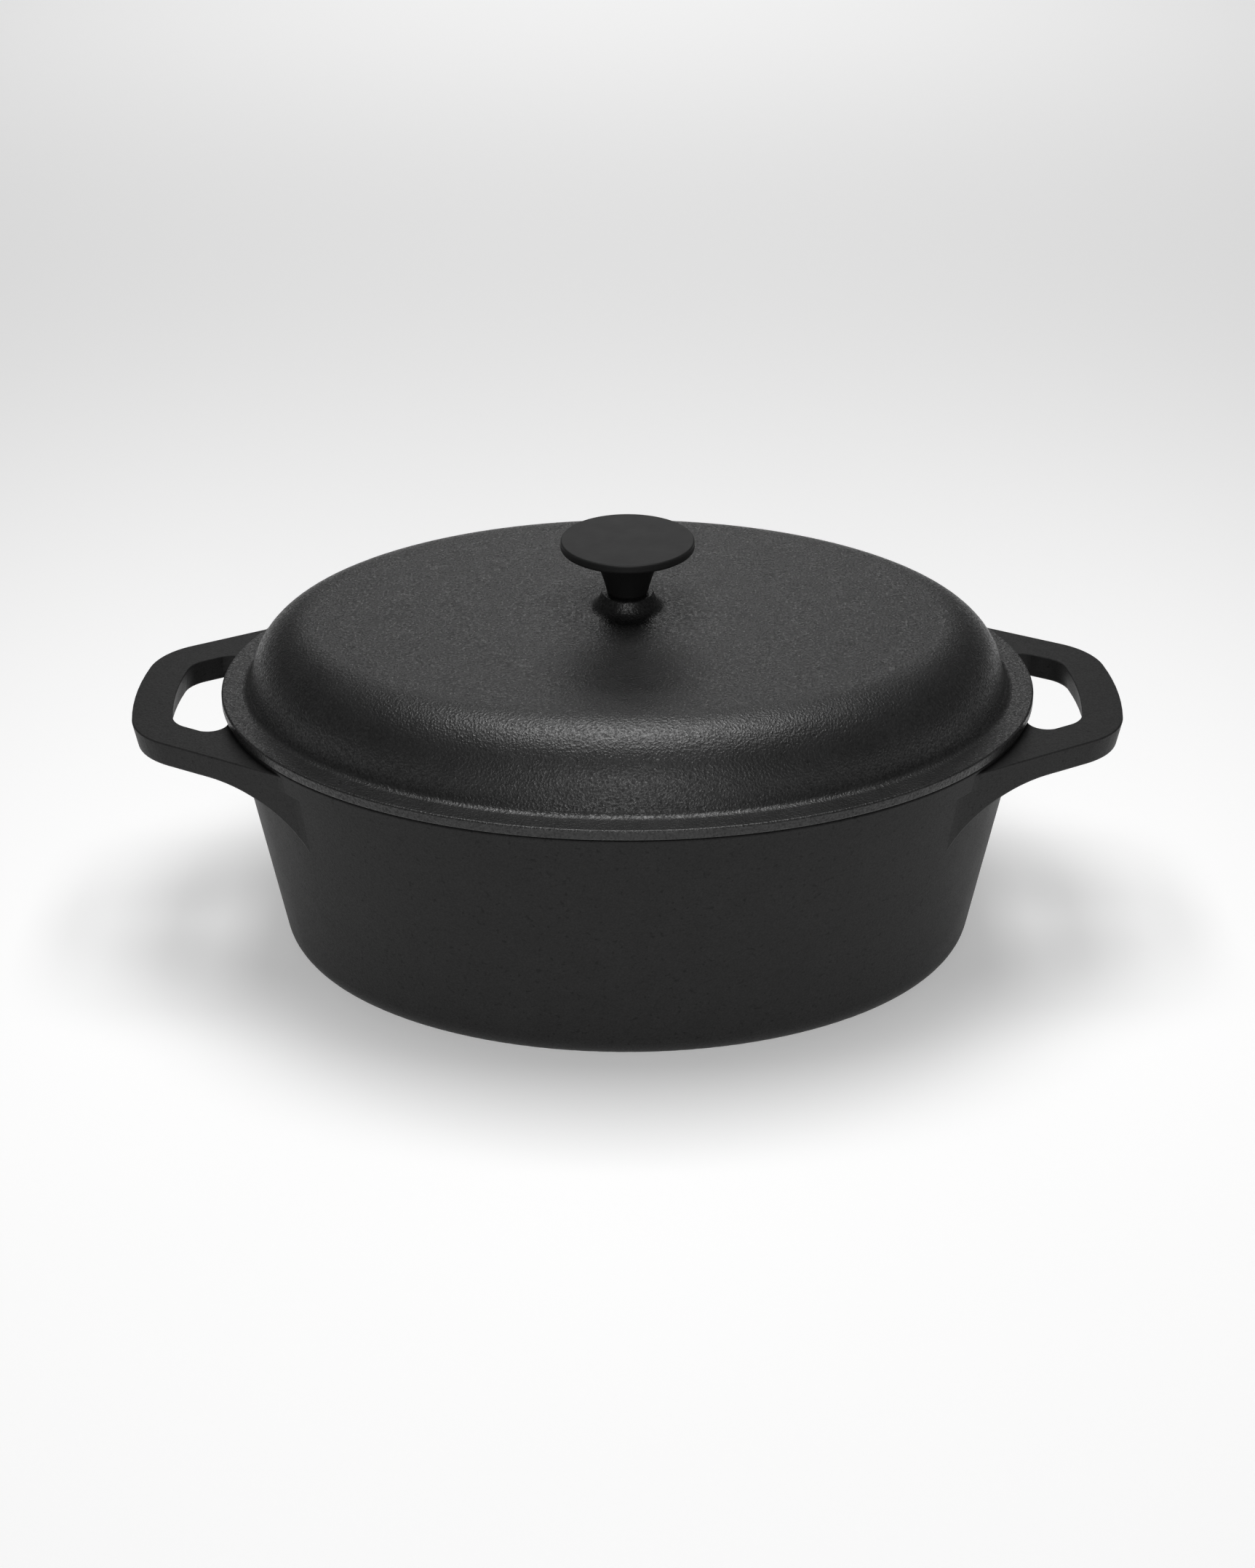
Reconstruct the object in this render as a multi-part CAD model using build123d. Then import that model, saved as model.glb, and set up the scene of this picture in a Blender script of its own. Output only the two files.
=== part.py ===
"""Cast iron dutch oven: an oval pot with two loop handles and a domed lid that lifts off.

Millimetres, +Z up. The origin is in the middle of the flat base, with +X along the handles.
"""
import os
from math import acos, atan2, cos, hypot, radians, sin, tan

from build123d import *

os.makedirs("parts", exist_ok=True)

# ------------------------------------------------------------------ driving sizes

# overall
LID_LENGTH = 320.0          # lid edge to lid edge along X
LID_WIDTH = 250.0           # lid edge to lid edge along Y
POT_HEIGHT = 109.0          # base to the rim plane that the lid rests on
DOME_HEIGHT = 35.7          # rim plane to the middle of the lid

# pot
WALL = 5.0
FLOOR = 6.0
RIM_INSET = 0.8             # rim edge inside the lid edge
RIM_BAND = 9.0              # height of the thicker band round the rim
RIM_STEP = 1.8              # ledge under the band
DRAFT = 10.0                # all upright cast faces lean in this much
BASE_RADIUS = 14.0
EDGE_RADIUS = 0.7

# loop handles
HANDLE_REACH = 35.0         # past the lid edge
HANDLE_BAR = 16.0           # width of the bar, seen from above
HANDLE_DROP = 1.5           # top face below the rim plane
HANDLE_THICK = 11.0
ARM_DEPTH = 8.5             # sides of the arms, carried on, touch an oval this far inside the lid edge
CORNER_Y = 37.4             # half width at the outer corners
CORNER_RADIUS = 28.0
END_BOW = 4.8               # how far the outer end bows out
ARM_BLEND = 18.0            # arm into the rim, seen from above
HOLE_RADIUS = 7.0           # corners of the finger gap at the pot
GUSSET_START = 70.6         # underside starts to sweep down this far outside where the sides touch
GUSSET_RADIUS = 44.0
GUSSET_ANGLE = 60.0         # of the sweep, which then runs on straight
SWEEP_END = 22.0            # straight end of the sweep, inside the wall
ROOT_LAP = 0.15             # root of the handle inside the faces that it joins
HANDLE_SKIN = 0.05          # upper corners of the root inside the sides of the arms
HANDLE_EDGE = 1.5           # lower edges of the bar
HANDLE_CREST = 0.5          # upper edges of the bar

# lid
LID_EDGE = 4.7              # thickness at the edge
EDGE_LIFT = 0.6             # gap between the rim and the outermost part of the lid
EDGE_LIFT_WIDTH = 3.4
LID_WALL = 4.2
FLANGE = 10.5               # flat edge outside the dome
FLANGE_RADIUS = 3.0
DOME_DRAFT = 15.0
SHOULDER_RADIUS = 26.0
CROWN_RISE = 2.8            # middle of the lid above its shoulder
LIP_DEPTH = 5.0             # locating lip inside the mouth of the pot
LIP_GAP = 1.5
BOSS_DIAMETER = 20.2        # at the top
BOSS_HEIGHT = 6.1
BOSS_DRAFT = 20.0
BOSS_RADIUS = 1.0           # round its top edge
BOSS_FOOT = 5.0             # hollow round its foot
SEAT_HEIGHT = 1.6           # pad under the crown for the washer
SEAT_MARGIN = 3.0           # pad outside the washer

# knob, screw, insert and washer
KNOB_DIAMETER = 52.0
KNOB_HEIGHT = 22.4
KNOB_DISC = 3.9
KNOB_CROWN = 0.4
KNOB_EDGE = 0.8             # round the top edge of the disc
KNOB_ROUND = 1.0            # round its lower edge
STEM_DIAMETER = 15.8        # at the boss
STEM_WAIST = 21.2           # half way up
STEM_FLARE = 30.0           # where it meets the disc
NECK_RADIUS = 4.0
BORE_SPARE = 1.5            # blind bore past the insert
SCREW_DIAMETER = 6.0
SCREW_LENGTH = 25.0
HEAD_DIAMETER = 12.0
HEAD_HEIGHT = 3.6
SLOT_LENGTH = 6.6           # of the cross in the head
SLOT_WIDTH = 1.3
SCREW_GAP = 0.6             # clearance of the holes in the lid and washer
INSERT_WALL = 1.5
INSERT_SINK = 0.5           # insert sits this far inside the stem
WASHER_DIAMETER = 18.0
WASHER_THICK = 1.6

# ------------------------------------------------------------------ derived sizes

CROWN_Z = POT_HEIGHT + DOME_HEIGHT
BOSS_Z = CROWN_Z + BOSS_HEIGHT
SEAT_Z = CROWN_Z - LID_WALL - SEAT_HEIGHT
HEAD_Z = SEAT_Z - WASHER_THICK
HANDLE_Z = POT_HEIGHT - HANDLE_DROP
UNDER_Z = HANDLE_Z - HANDLE_THICK
LEDGE_Z = POT_HEIGHT - RIM_BAND
INSIDE_RADIUS = BASE_RADIUS - FLOOR / 3
WALL_INSET = RIM_INSET + RIM_STEP          # wall outline carried up to the rim plane
MOUTH_INSET = WALL_INSET + WALL / cos(radians(DRAFT))
INSERT_LENGTH = HEAD_Z + SCREW_LENGTH - BOSS_Z
INSERT_DIAMETER = SCREW_DIAMETER + 2 * INSERT_WALL
HANDLE_CORNER = Vector(LID_LENGTH / 2 + HANDLE_REACH - END_BOW, CORNER_Y)
HOLE_CORNER = min(HOLE_RADIUS, 0.37 * (HANDLE_REACH - HANDLE_BAR))
UPWARD = (Align.CENTER, Align.CENTER, Align.MIN)


def oval(inset):
    """The lid's outline, moved in by `inset`."""
    return Ellipse(LID_LENGTH / 2 - inset, LID_WIDTH / 2 - inset)


def drafted(inset, top, bottom, draft):
    """A block with an oval outline, leaning in by `draft` degrees from `top` to `bottom`."""
    lean = abs(top - bottom) * tan(radians(draft))
    return loft([Pos(0, 0, top) * oval(inset), Pos(0, 0, bottom) * oval(inset + lean)])


def edges_at(shape, z):
    """The level edges of a shape at one height."""
    level = [e for e in shape.edges() if e.bounding_box().size.Z < 0.02]
    return ShapeList(e for e in level if abs(e.center().Z - z) < 0.01)


def long_edges(shape, low, high):
    """Edges from `low` to `high` that run along the handle, not across its cut end."""
    boxes = [(e, e.bounding_box()) for e in shape.edges()]
    inside = [(e, box) for e, box in boxes if box.min.Z > low - 0.01 and box.max.Z < high + 0.01]
    return [e for e, box in inside if box.size.X > 0.01]


def arm_root():
    """Where the side of an arm, run straight in from the handle's corner, touches an oval in the pot."""
    touch_x, touch_y = LID_LENGTH / 2 - ARM_DEPTH, LID_WIDTH / 2 - ARM_DEPTH
    u, v = HANDLE_CORNER.X / touch_x, HANDLE_CORNER.Y / touch_y
    turn = atan2(v, u) + acos(1 / hypot(u, v))
    return Vector(touch_x * cos(turn), touch_y * sin(turn))


def handle_outline():
    """The handle seen from above, with arms that run on into the pot."""
    corner, root = HANDLE_CORNER, arm_root()
    end_x = LID_LENGTH / 2 + HANDLE_REACH
    end = ThreePointArc((corner.X, -corner.Y), (end_x, 0), (corner.X, corner.Y))
    arms = Polyline((corner.X, corner.Y), (root.X, root.Y), (root.X, -root.Y), (corner.X, -corner.Y))
    face = make_face(end.edges() + arms.edges())
    corners = [v for v in face.vertices() if abs(v.X - corner.X) < 0.01]
    return fillet(corners, CORNER_RADIUS)


def handle_side():
    """The handle seen from the side: a flat underside, then a sweep down to the pot wall."""
    end_x = LID_LENGTH / 2 + HANDLE_REACH + 1
    start_x = arm_root().X + GUSSET_START
    arc = []
    for turn in (0, radians(GUSSET_ANGLE / 2), radians(GUSSET_ANGLE)):
        arc.append((start_x - GUSSET_RADIUS * sin(turn), UNDER_Z - GUSSET_RADIUS * (1 - cos(turn))))
    root_x = arc[2][0] - SWEEP_END * cos(turn)
    root_z = arc[2][1] - SWEEP_END * sin(turn)
    flat = Polyline(arc[0], (end_x, UNDER_Z), (end_x, HANDLE_Z), (root_x, HANDLE_Z), (root_x, root_z), arc[2])
    side = make_face(flat.edges() + ThreePointArc(*arc).edges())
    return extrude(Plane.XZ * side, LID_WIDTH, both=True)


def handle_layer(outline, gap, inset):
    """The handle with drafted sides and its finger gap, joined to an oval `inset` deep at its top face."""
    top = Pos(0, 0, HANDLE_Z)
    depth = HANDLE_THICK + GUSSET_RADIUS
    plan = outline + oval(inset)
    corners = plan.vertices().sort_by(Axis.Y)
    layer = extrude(top * fillet([corners[0], corners[-1]], ARM_BLEND), -depth, taper=DRAFT)
    gap -= oval(inset)
    corners = gap.vertices().sort_by(Axis.Y)
    layer -= extrude(top * fillet([corners[0], corners[-1]], HOLE_CORNER), -depth, taper=-DRAFT)
    layer &= handle_side()
    return fillet(long_edges(layer, HANDLE_Z - 0.01, HANDLE_Z), HANDLE_CREST)


def handle():
    """The loop handle at +X. Its root blends into the wall, and above the ledge into the rim band."""
    sunk = HANDLE_DROP * tan(radians(DRAFT)) + ROOT_LAP
    outline = handle_outline()
    bar = handle_layer(outline, offset(outline, -HANDLE_BAR), WALL_INSET + sunk)
    bar = fillet(long_edges(bar, 0, UNDER_Z), HANDLE_EDGE)
    outer = offset(outline, -HANDLE_SKIN)
    inner = offset(outline, HANDLE_SKIN - HANDLE_BAR)
    corners = handle_layer(outer, inner, RIM_INSET + sunk)
    return bar + split(corners, Plane.XY.offset(LEDGE_Z), keep=Keep.TOP)


def pot():
    wall = drafted(WALL_INSET, POT_HEIGHT, 0, DRAFT)
    wall = fillet(edges_at(wall, 0), BASE_RADIUS)
    band = drafted(RIM_INSET, POT_HEIGHT, LEDGE_Z, DRAFT)
    inside = drafted(MOUTH_INSET, POT_HEIGHT, FLOOR, DRAFT)
    inside = fillet(edges_at(inside, FLOOR), INSIDE_RADIUS)
    right = handle()
    body = wall + band + right + Rot(0, 0, 180) * right - inside
    return fillet(edges_at(body, POT_HEIGHT), EDGE_RADIUS)


def dome(thinner):
    """The domed middle of the lid as a solid block, or its hollow when `thinner` is the lid's wall."""
    inset = FLANGE + thinner / cos(radians(DOME_DRAFT))
    top = CROWN_Z - thinner
    mean = (LID_LENGTH + LID_WIDTH) / 4 - FLANGE - SHOULDER_RADIUS
    ball = mean ** 2 / (2 * CROWN_RISE)
    base = POT_HEIGHT + LID_EDGE
    foot = base - (LID_EDGE + LIP_DEPTH) * (1 if thinner else 0)
    inset -= (base - foot) * tan(radians(DOME_DRAFT))
    block = drafted(inset, foot, CROWN_Z + CROWN_RISE, DOME_DRAFT)
    block &= Pos(0, 0, top - ball) * Sphere(ball)
    shoulder = [e for e in block.edges() if e.center().Z > top - 4 * CROWN_RISE]
    return fillet(shoulder, SHOULDER_RADIUS - thinner)


def lid():
    plate = extrude(Pos(0, 0, POT_HEIGHT) * oval(0), LID_EDGE)
    plate -= extrude(Pos(0, 0, POT_HEIGHT) * (oval(0) - oval(EDGE_LIFT_WIDTH)), EDGE_LIFT)
    outer = edges_at(plate, POT_HEIGHT + EDGE_LIFT).sort_by(SortBy.LENGTH)[-1]
    plate = fillet([outer, *edges_at(plate, POT_HEIGHT + LID_EDGE)], EDGE_RADIUS)
    shell = plate + dome(0)
    foot = edges_at(shell, POT_HEIGHT + LID_EDGE)
    shell = fillet([e for e in foot if e.length < max(f.length for f in foot)], FLANGE_RADIUS)
    tall = BOSS_Z - SEAT_Z
    wide = BOSS_DIAMETER / 2 + tall * tan(radians(BOSS_DRAFT))
    boss = Pos(0, 0, SEAT_Z) * Cone(wide, BOSS_DIAMETER / 2, tall, align=UPWARD)
    shell += fillet(edges_at(boss, BOSS_Z), BOSS_RADIUS)
    centred = [e for e in shell.edges() if e.bounding_box().size.X < 2 * wide]
    shell = fillet([e for e in centred if abs(e.center().Z - CROWN_Z) < 0.5], BOSS_FOOT)
    lip_inset = MOUTH_INSET + LIP_GAP + LIP_DEPTH * tan(radians(DRAFT))
    shell += drafted(lip_inset, POT_HEIGHT + 1, POT_HEIGHT - LIP_DEPTH, DRAFT)
    shell -= dome(LID_WALL)
    seat = WASHER_DIAMETER / 2 + SEAT_MARGIN
    shell += Pos(0, 0, SEAT_Z) * Cylinder(seat, CROWN_Z - SEAT_Z - LID_WALL / 4, align=UPWARD)
    hole = Cylinder((SCREW_DIAMETER + SCREW_GAP) / 2, LID_LENGTH)
    return shell - Pos(0, 0, CROWN_Z) * hole


def knob():
    under = KNOB_HEIGHT - KNOB_DISC
    edge = KNOB_DIAMETER / 2
    crown_z = KNOB_HEIGHT - KNOB_CROWN
    ball = (edge ** 2 + KNOB_CROWN ** 2) / (2 * KNOB_CROWN)
    mid_z = KNOB_HEIGHT - ball + (ball ** 2 - edge ** 2 / 4) ** 0.5
    profile = [
        Line((0, 0), (STEM_DIAMETER / 2, 0)),
        ThreePointArc((STEM_DIAMETER / 2, 0), (STEM_WAIST / 2, under / 2), (STEM_FLARE / 2, under)),
        Line((STEM_FLARE / 2, under), (edge, under)),
        Line((edge, under), (edge, crown_z)),
        ThreePointArc((edge, crown_z), (edge / 2, mid_z), (0, KNOB_HEIGHT)),
        Line((0, KNOB_HEIGHT), (0, 0)),
    ]
    edges = [e for piece in profile for e in piece.edges()]
    body = revolve(Plane.XZ * make_face(edges), Axis.Z)
    body = chamfer(edges_at(body, 0), EDGE_RADIUS)
    body = fillet(edges_at(body, under).sort_by(SortBy.LENGTH)[:1], NECK_RADIUS)
    body = fillet(edges_at(body, under).sort_by(SortBy.LENGTH)[-1:], KNOB_ROUND)
    body = fillet(edges_at(body, crown_z), KNOB_EDGE)
    body -= Cylinder(INSERT_DIAMETER / 2, INSERT_SINK + INSERT_LENGTH + BORE_SPARE, align=UPWARD)
    return Pos(0, 0, BOSS_Z) * body


def knob_insert():
    tube = Cylinder(INSERT_DIAMETER / 2, INSERT_LENGTH) - Cylinder(SCREW_DIAMETER / 2, INSERT_LENGTH)
    return Pos(0, 0, BOSS_Z + INSERT_SINK + INSERT_LENGTH / 2) * tube


def knob_washer():
    disc = Cylinder(WASHER_DIAMETER / 2, WASHER_THICK)
    disc -= Cylinder((SCREW_DIAMETER + SCREW_GAP) / 2, WASHER_THICK)
    return Pos(0, 0, SEAT_Z - WASHER_THICK / 2) * disc


def knob_screw():
    head = Cylinder(HEAD_DIAMETER / 2, HEAD_HEIGHT, align=(Align.CENTER, Align.CENTER, Align.MAX))
    head = fillet(edges_at(head, -HEAD_HEIGHT), HEAD_HEIGHT / 3)
    for turn in (0, 90):
        slot = Box(SLOT_LENGTH, SLOT_WIDTH, HEAD_HEIGHT)
        head -= Pos(0, 0, -HEAD_HEIGHT) * Rot(0, 0, turn) * slot
    shank = Cylinder(SCREW_DIAMETER / 2, SCREW_LENGTH, align=UPWARD)
    shank = chamfer(edges_at(shank, SCREW_LENGTH), EDGE_RADIUS)
    return Pos(0, 0, HEAD_Z) * (head + shank)


for name, make in {
    "pot": pot,
    "lid": lid,
    "knob": knob,
    "knob_insert": knob_insert,
    "knob_washer": knob_washer,
    "knob_screw": knob_screw,
}.items():
    piece = make()
    print(name, round(piece.volume), piece.bounding_box(), len(piece.solids()), piece.is_valid)
    export_step(piece, "parts/" + name + ".step")
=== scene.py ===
"""Looks for the cast iron dutch oven: materials, floor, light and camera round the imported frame."""

import math

import bpy
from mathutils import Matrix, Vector


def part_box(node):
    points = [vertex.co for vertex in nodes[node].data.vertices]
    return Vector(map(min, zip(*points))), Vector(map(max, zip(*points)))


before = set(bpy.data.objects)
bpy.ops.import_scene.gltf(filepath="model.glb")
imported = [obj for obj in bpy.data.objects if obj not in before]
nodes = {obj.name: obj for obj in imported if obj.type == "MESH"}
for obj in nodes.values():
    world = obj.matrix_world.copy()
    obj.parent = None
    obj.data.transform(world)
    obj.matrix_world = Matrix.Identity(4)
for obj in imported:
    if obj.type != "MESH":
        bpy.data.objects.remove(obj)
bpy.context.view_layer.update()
RIM_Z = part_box("pot")[1].z

# ------------------------------------------------------------------ camera, aimed below the rim

CAMERA_DISTANCE = 1.072
CAMERA_ELEVATION = math.radians(28.2)
CAMERA_TURN = math.radians(-0.32)
CAMERA_AIM_DROP = 0.0433
CAMERA_LENS = 60.8
SENSOR_WIDTH = 36.0
CLIP_START = 0.05
CLIP_END = 50.0

# ------------------------------------------------------------------ light and floor

WORLD_STRENGTH = 0.08
FLOOR_REACH = 5.0
FLOOR_GREY = 0.8
FLOOR_GLOW = 0.33
FLOOR_ROUGHNESS = 0.95
FLOOR_SPECULAR = 0.1
PAPER_TOOTH = 0.0016
AIM = Vector((0, 0, RIM_Z))
LIGHTS = {
    # name: (place, aim, size, power)
    "key": (Vector((0, -0.02, 0.92)), AIM, 0.5, 6.3),
    "front": (Vector((0, -1.7, 1.1)), AIM, 1.1, 3.2),
    "low": (Vector((0, -1.9, 0.5)), AIM, 0.6, 7.4),
    "backdrop": (Vector((0, 2.0, 1.0)), Vector((0, 2.0, 0)), 1.4, 9.5),
}

# ------------------------------------------------------------------ finishes, with sizes in metres

CLOUD_SIZE = 0.014
CLOUD_DEPTH = 0.00012
CLOUD_ROUGHNESS = 0.03
SKIN_SIZE = 0.045
SKIN_DEPTH = 0.0005
PIT_SHARE = 2.6             # size of the pits, as a multiple of the grain
GRAIN_ROUGHNESS = 0.2       # how much rougher the dark grains are, as a share of the speckle

FLOW_SIZE = 0.008
FLOW_DEPTH = 0.00003
MOULD_SIZE = 0.0005
MOULD_DEPTH = 0.00001
PHENOLIC_IOR = 1.25

RING_SCALE = 9000.0
RING_DEPTH = 0.00002
RING_ROUGHNESS = 0.08
PATCH_SIZE = 0.004
STEEL_ROUGHNESS = 0.34
BRASS_ROUGHNESS = 0.3
STEEL_COLOUR = (0.56, 0.56, 0.57)
BRASS_COLOUR = (0.72, 0.53, 0.25)


def add(tree, kind, **settings):
    """A new shader node. Settings that name an input set its value, and the rest are properties."""
    node = tree.nodes.new("ShaderNode" + kind)
    for name, value in settings.items():
        label = name.replace("_", " ")
        if label in node.inputs:
            node.inputs[label].default_value = value
        else:
            setattr(node, name, value)
    return node


def new_material(name):
    material = bpy.data.materials.new(name)
    material.use_nodes = True
    tree = material.node_tree
    return material, tree, tree.nodes["Principled BSDF"]


def noise(tree, size, detail=3.0, roughness=0.5, stretch=(1, 1, 1)):
    """Noise with features of about `size` metres, fixed to the object. Stretch lengthens them."""
    place = add(tree, "TexCoord")
    scale = add(tree, "Mapping")
    scale.inputs["Scale"].default_value = [1 / (size * s) for s in stretch]
    texture = add(tree, "TexNoise", Scale=1.0, Detail=detail, Roughness=roughness)
    tree.links.new(place.outputs["Object"], scale.inputs["Vector"])
    tree.links.new(scale.outputs["Vector"], texture.inputs["Vector"])
    return texture.outputs["Fac"]


def span(tree, value, low, high, start=0.3, end=0.7):
    """Maps `value` from start..end to low..high, held at both ends."""
    node = add(tree, "MapRange", clamp=True)
    limits = {"From Min": start, "From Max": end, "To Min": low, "To Max": high}
    for label, number in limits.items():
        node.inputs[label].default_value = number
    tree.links.new(value, node.inputs["Value"])
    return node.outputs["Result"]


def math_node(tree, operation, a, b):
    node = add(tree, "Math", operation=operation)
    for socket, value in zip(node.inputs, (a, b)):
        if isinstance(value, (int, float)):
            socket.default_value = value
        else:
            tree.links.new(value, socket)
    return node.outputs["Value"]


def bump(tree, height, depth, normal=None):
    """A bump `depth` metres deep, laid over the `normal` of the one before."""
    node = add(tree, "Bump", Strength=1.0, Distance=depth)
    tree.links.new(height, node.inputs["Height"])
    if normal is not None:
        tree.links.new(normal, node.inputs["Normal"])
    return node.outputs["Normal"]


def grey(tree, value, tint=(1, 1, 1)):
    """A colour of that brightness."""
    node = add(tree, "CombineColor")
    for socket, share in zip(node.inputs, tint):
        tree.links.new(math_node(tree, "MULTIPLY", value, share), socket)
    return node.outputs["Color"]


def enamel(name, tone, ior, roughness, grain, depth, speckle):
    """Black enamel fired on cast iron: fine grain, faint cloudiness, and a skin that isn't quite even."""
    material, tree, shader = new_material(name)
    fine = noise(tree, grain, detail=2.0)
    clouds = noise(tree, CLOUD_SIZE, detail=4.0, roughness=0.6)
    pits = noise(tree, grain * PIT_SHARE, detail=1.0)
    skin = noise(tree, SKIN_SIZE, detail=1.0)
    shade = math_node(tree, "MULTIPLY", span(tree, fine, 1 - speckle, 1 + speckle), tone)
    shade = math_node(tree, "MULTIPLY", shade, span(tree, clouds, 0.9, 1.1))
    shade = math_node(tree, "MULTIPLY", shade, span(tree, pits, 0.55, 1.0, 0.26, 0.36))
    tree.links.new(grey(tree, shade), shader.inputs["Base Color"])
    rough = math_node(tree, "ADD", span(tree, clouds, -CLOUD_ROUGHNESS, CLOUD_ROUGHNESS), roughness)
    uneven = speckle * GRAIN_ROUGHNESS
    rough = math_node(tree, "ADD", span(tree, fine, uneven, -uneven), rough)
    tree.links.new(rough, shader.inputs["Roughness"])
    shader.inputs["IOR"].default_value = ior
    normal = bump(tree, skin, SKIN_DEPTH)
    normal = bump(tree, clouds, CLOUD_DEPTH, normal)
    normal = bump(tree, fine, depth, normal)
    tree.links.new(normal, shader.inputs["Normal"])
    return material


def phenolic(name, tone):
    """Moulded black phenolic, satin and smooth, with faint flow marks."""
    material, tree, shader = new_material(name)
    flow = noise(tree, FLOW_SIZE, detail=5.0, roughness=0.55, stretch=(1, 1, 0.4))
    fine = noise(tree, MOULD_SIZE, detail=2.0)
    shade = math_node(tree, "MULTIPLY", span(tree, flow, 0.92, 1.08), tone)
    shade = math_node(tree, "MULTIPLY", span(tree, fine, 0.95, 1.05), shade)
    tree.links.new(grey(tree, shade), shader.inputs["Base Color"])
    tree.links.new(span(tree, flow, 0.42, 0.48), shader.inputs["Roughness"])
    shader.inputs["IOR"].default_value = PHENOLIC_IOR
    normal = bump(tree, flow, FLOW_DEPTH)
    tree.links.new(bump(tree, fine, MOULD_DEPTH, normal), shader.inputs["Normal"])
    return material


def turned_metal(name, colour, roughness):
    """Lathe-turned metal, with fine rings that follow its radius and its height."""
    material, tree, shader = new_material(name)
    place = add(tree, "TexCoord")
    split = add(tree, "SeparateXYZ")
    tree.links.new(place.outputs["Object"], split.inputs["Vector"])
    squares = [math_node(tree, "MULTIPLY", split.outputs[axis], split.outputs[axis]) for axis in "XY"]
    radius = math_node(tree, "SQRT", math_node(tree, "ADD", *squares), 0.0)
    rings = add(tree, "TexNoise", Scale=RING_SCALE, Detail=2.0)
    rings.noise_dimensions = "1D"
    tree.links.new(math_node(tree, "ADD", radius, split.outputs["Z"]), rings.inputs["W"])
    patches = noise(tree, PATCH_SIZE, detail=3.0)
    shade = span(tree, patches, 0.85, 1.05)
    tree.links.new(grey(tree, shade, colour), shader.inputs["Base Color"])
    uneven = span(tree, rings.outputs["Fac"], -RING_ROUGHNESS, RING_ROUGHNESS)
    rough = math_node(tree, "ADD", uneven, roughness)
    tree.links.new(rough, shader.inputs["Roughness"])
    shader.inputs["Metallic"].default_value = 1.0
    tree.links.new(bump(tree, rings.outputs["Fac"], RING_DEPTH), shader.inputs["Normal"])
    return material


def paper():
    """Pale matt paper with a faint tooth. Its glow stands for the light that a white studio returns."""
    material, tree, shader = new_material("paper")
    tooth = noise(tree, PAPER_TOOTH, detail=3.0)
    tree.links.new(grey(tree, span(tree, tooth, FLOOR_GREY * 0.99, FLOOR_GREY)), shader.inputs["Base Color"])
    shader.inputs["Roughness"].default_value = FLOOR_ROUGHNESS
    shader.inputs["Specular IOR Level"].default_value = FLOOR_SPECULAR
    shader.inputs["Emission Color"].default_value = (1, 1, 1, 1)
    shader.inputs["Emission Strength"].default_value = FLOOR_GLOW
    return material


def paint(node, material):
    for holder in nodes[node].material_slots:
        holder.material = material


# ------------------------------------------------------------------ stage


def make_world():
    world = bpy.data.worlds.new("studio")
    world.use_nodes = True
    sky = world.node_tree.nodes["Background"]
    sky.inputs["Color"].default_value = (1, 1, 1, 1)
    sky.inputs["Strength"].default_value = WORLD_STRENGTH
    bpy.context.scene.world = world
    bpy.context.scene.view_settings.view_transform = "Standard"


def make_camera():
    data = bpy.data.cameras.new("camera")
    data.sensor_width = SENSOR_WIDTH
    data.lens = CAMERA_LENS
    data.clip_start = CLIP_START
    data.clip_end = CLIP_END
    data.dof.use_dof = False
    camera = bpy.data.objects.new("camera", data)
    bpy.context.scene.collection.objects.link(camera)
    level = math.cos(CAMERA_ELEVATION)
    back = Vector((math.sin(CAMERA_TURN) * level, -math.cos(CAMERA_TURN) * level, math.sin(CAMERA_ELEVATION)))
    camera.location = Vector((0, 0, RIM_Z - CAMERA_AIM_DROP)) + back * CAMERA_DISTANCE
    camera.rotation_mode = "QUATERNION"
    camera.rotation_quaternion = (-back).to_track_quat("-Z", "Y")
    bpy.context.scene.camera = camera


def area_light(name, place, aim, size, power):
    """A square light turned towards `aim`."""
    data = bpy.data.lights.new(name, "AREA")
    data.shape = "SQUARE"
    data.size = size
    data.energy = power
    light = bpy.data.objects.new(name, data)
    light.location = place
    light.rotation_mode = "QUATERNION"
    light.rotation_quaternion = (aim - place).to_track_quat("-Z", "Y")
    bpy.context.scene.collection.objects.link(light)


def make_floor():
    mesh = bpy.data.meshes.new("floor")
    corners = [(x * FLOOR_REACH, y * FLOOR_REACH, 0) for x, y in ((-1, -1), (1, -1), (1, 1), (-1, 1))]
    mesh.from_pydata(corners, [], [(0, 1, 2, 3)])
    mesh.materials.append(paper())
    floor = bpy.data.objects.new("floor", mesh)
    bpy.context.scene.collection.objects.link(floor)


make_world()
make_camera()
for name, settings in LIGHTS.items():
    area_light(name, *settings)
make_floor()

lid_enamel = enamel(
    "lid_enamel", tone=0.012, ior=1.47, roughness=0.385, grain=0.0009, depth=0.0003, speckle=0.95
)
pot_enamel = enamel(
    "pot_enamel", tone=0.0175, ior=1.22, roughness=0.5, grain=0.0007, depth=0.00006, speckle=0.2
)
steel = turned_metal("stainless_steel", STEEL_COLOUR, STEEL_ROUGHNESS)
paint("lid", lid_enamel)
paint("pot", pot_enamel)
paint("knob", phenolic("knob_phenolic", tone=0.009))
paint("knob_insert", turned_metal("insert_brass", BRASS_COLOUR, BRASS_ROUGHNESS))
paint("knob_washer", steel)
paint("knob_screw", steel)
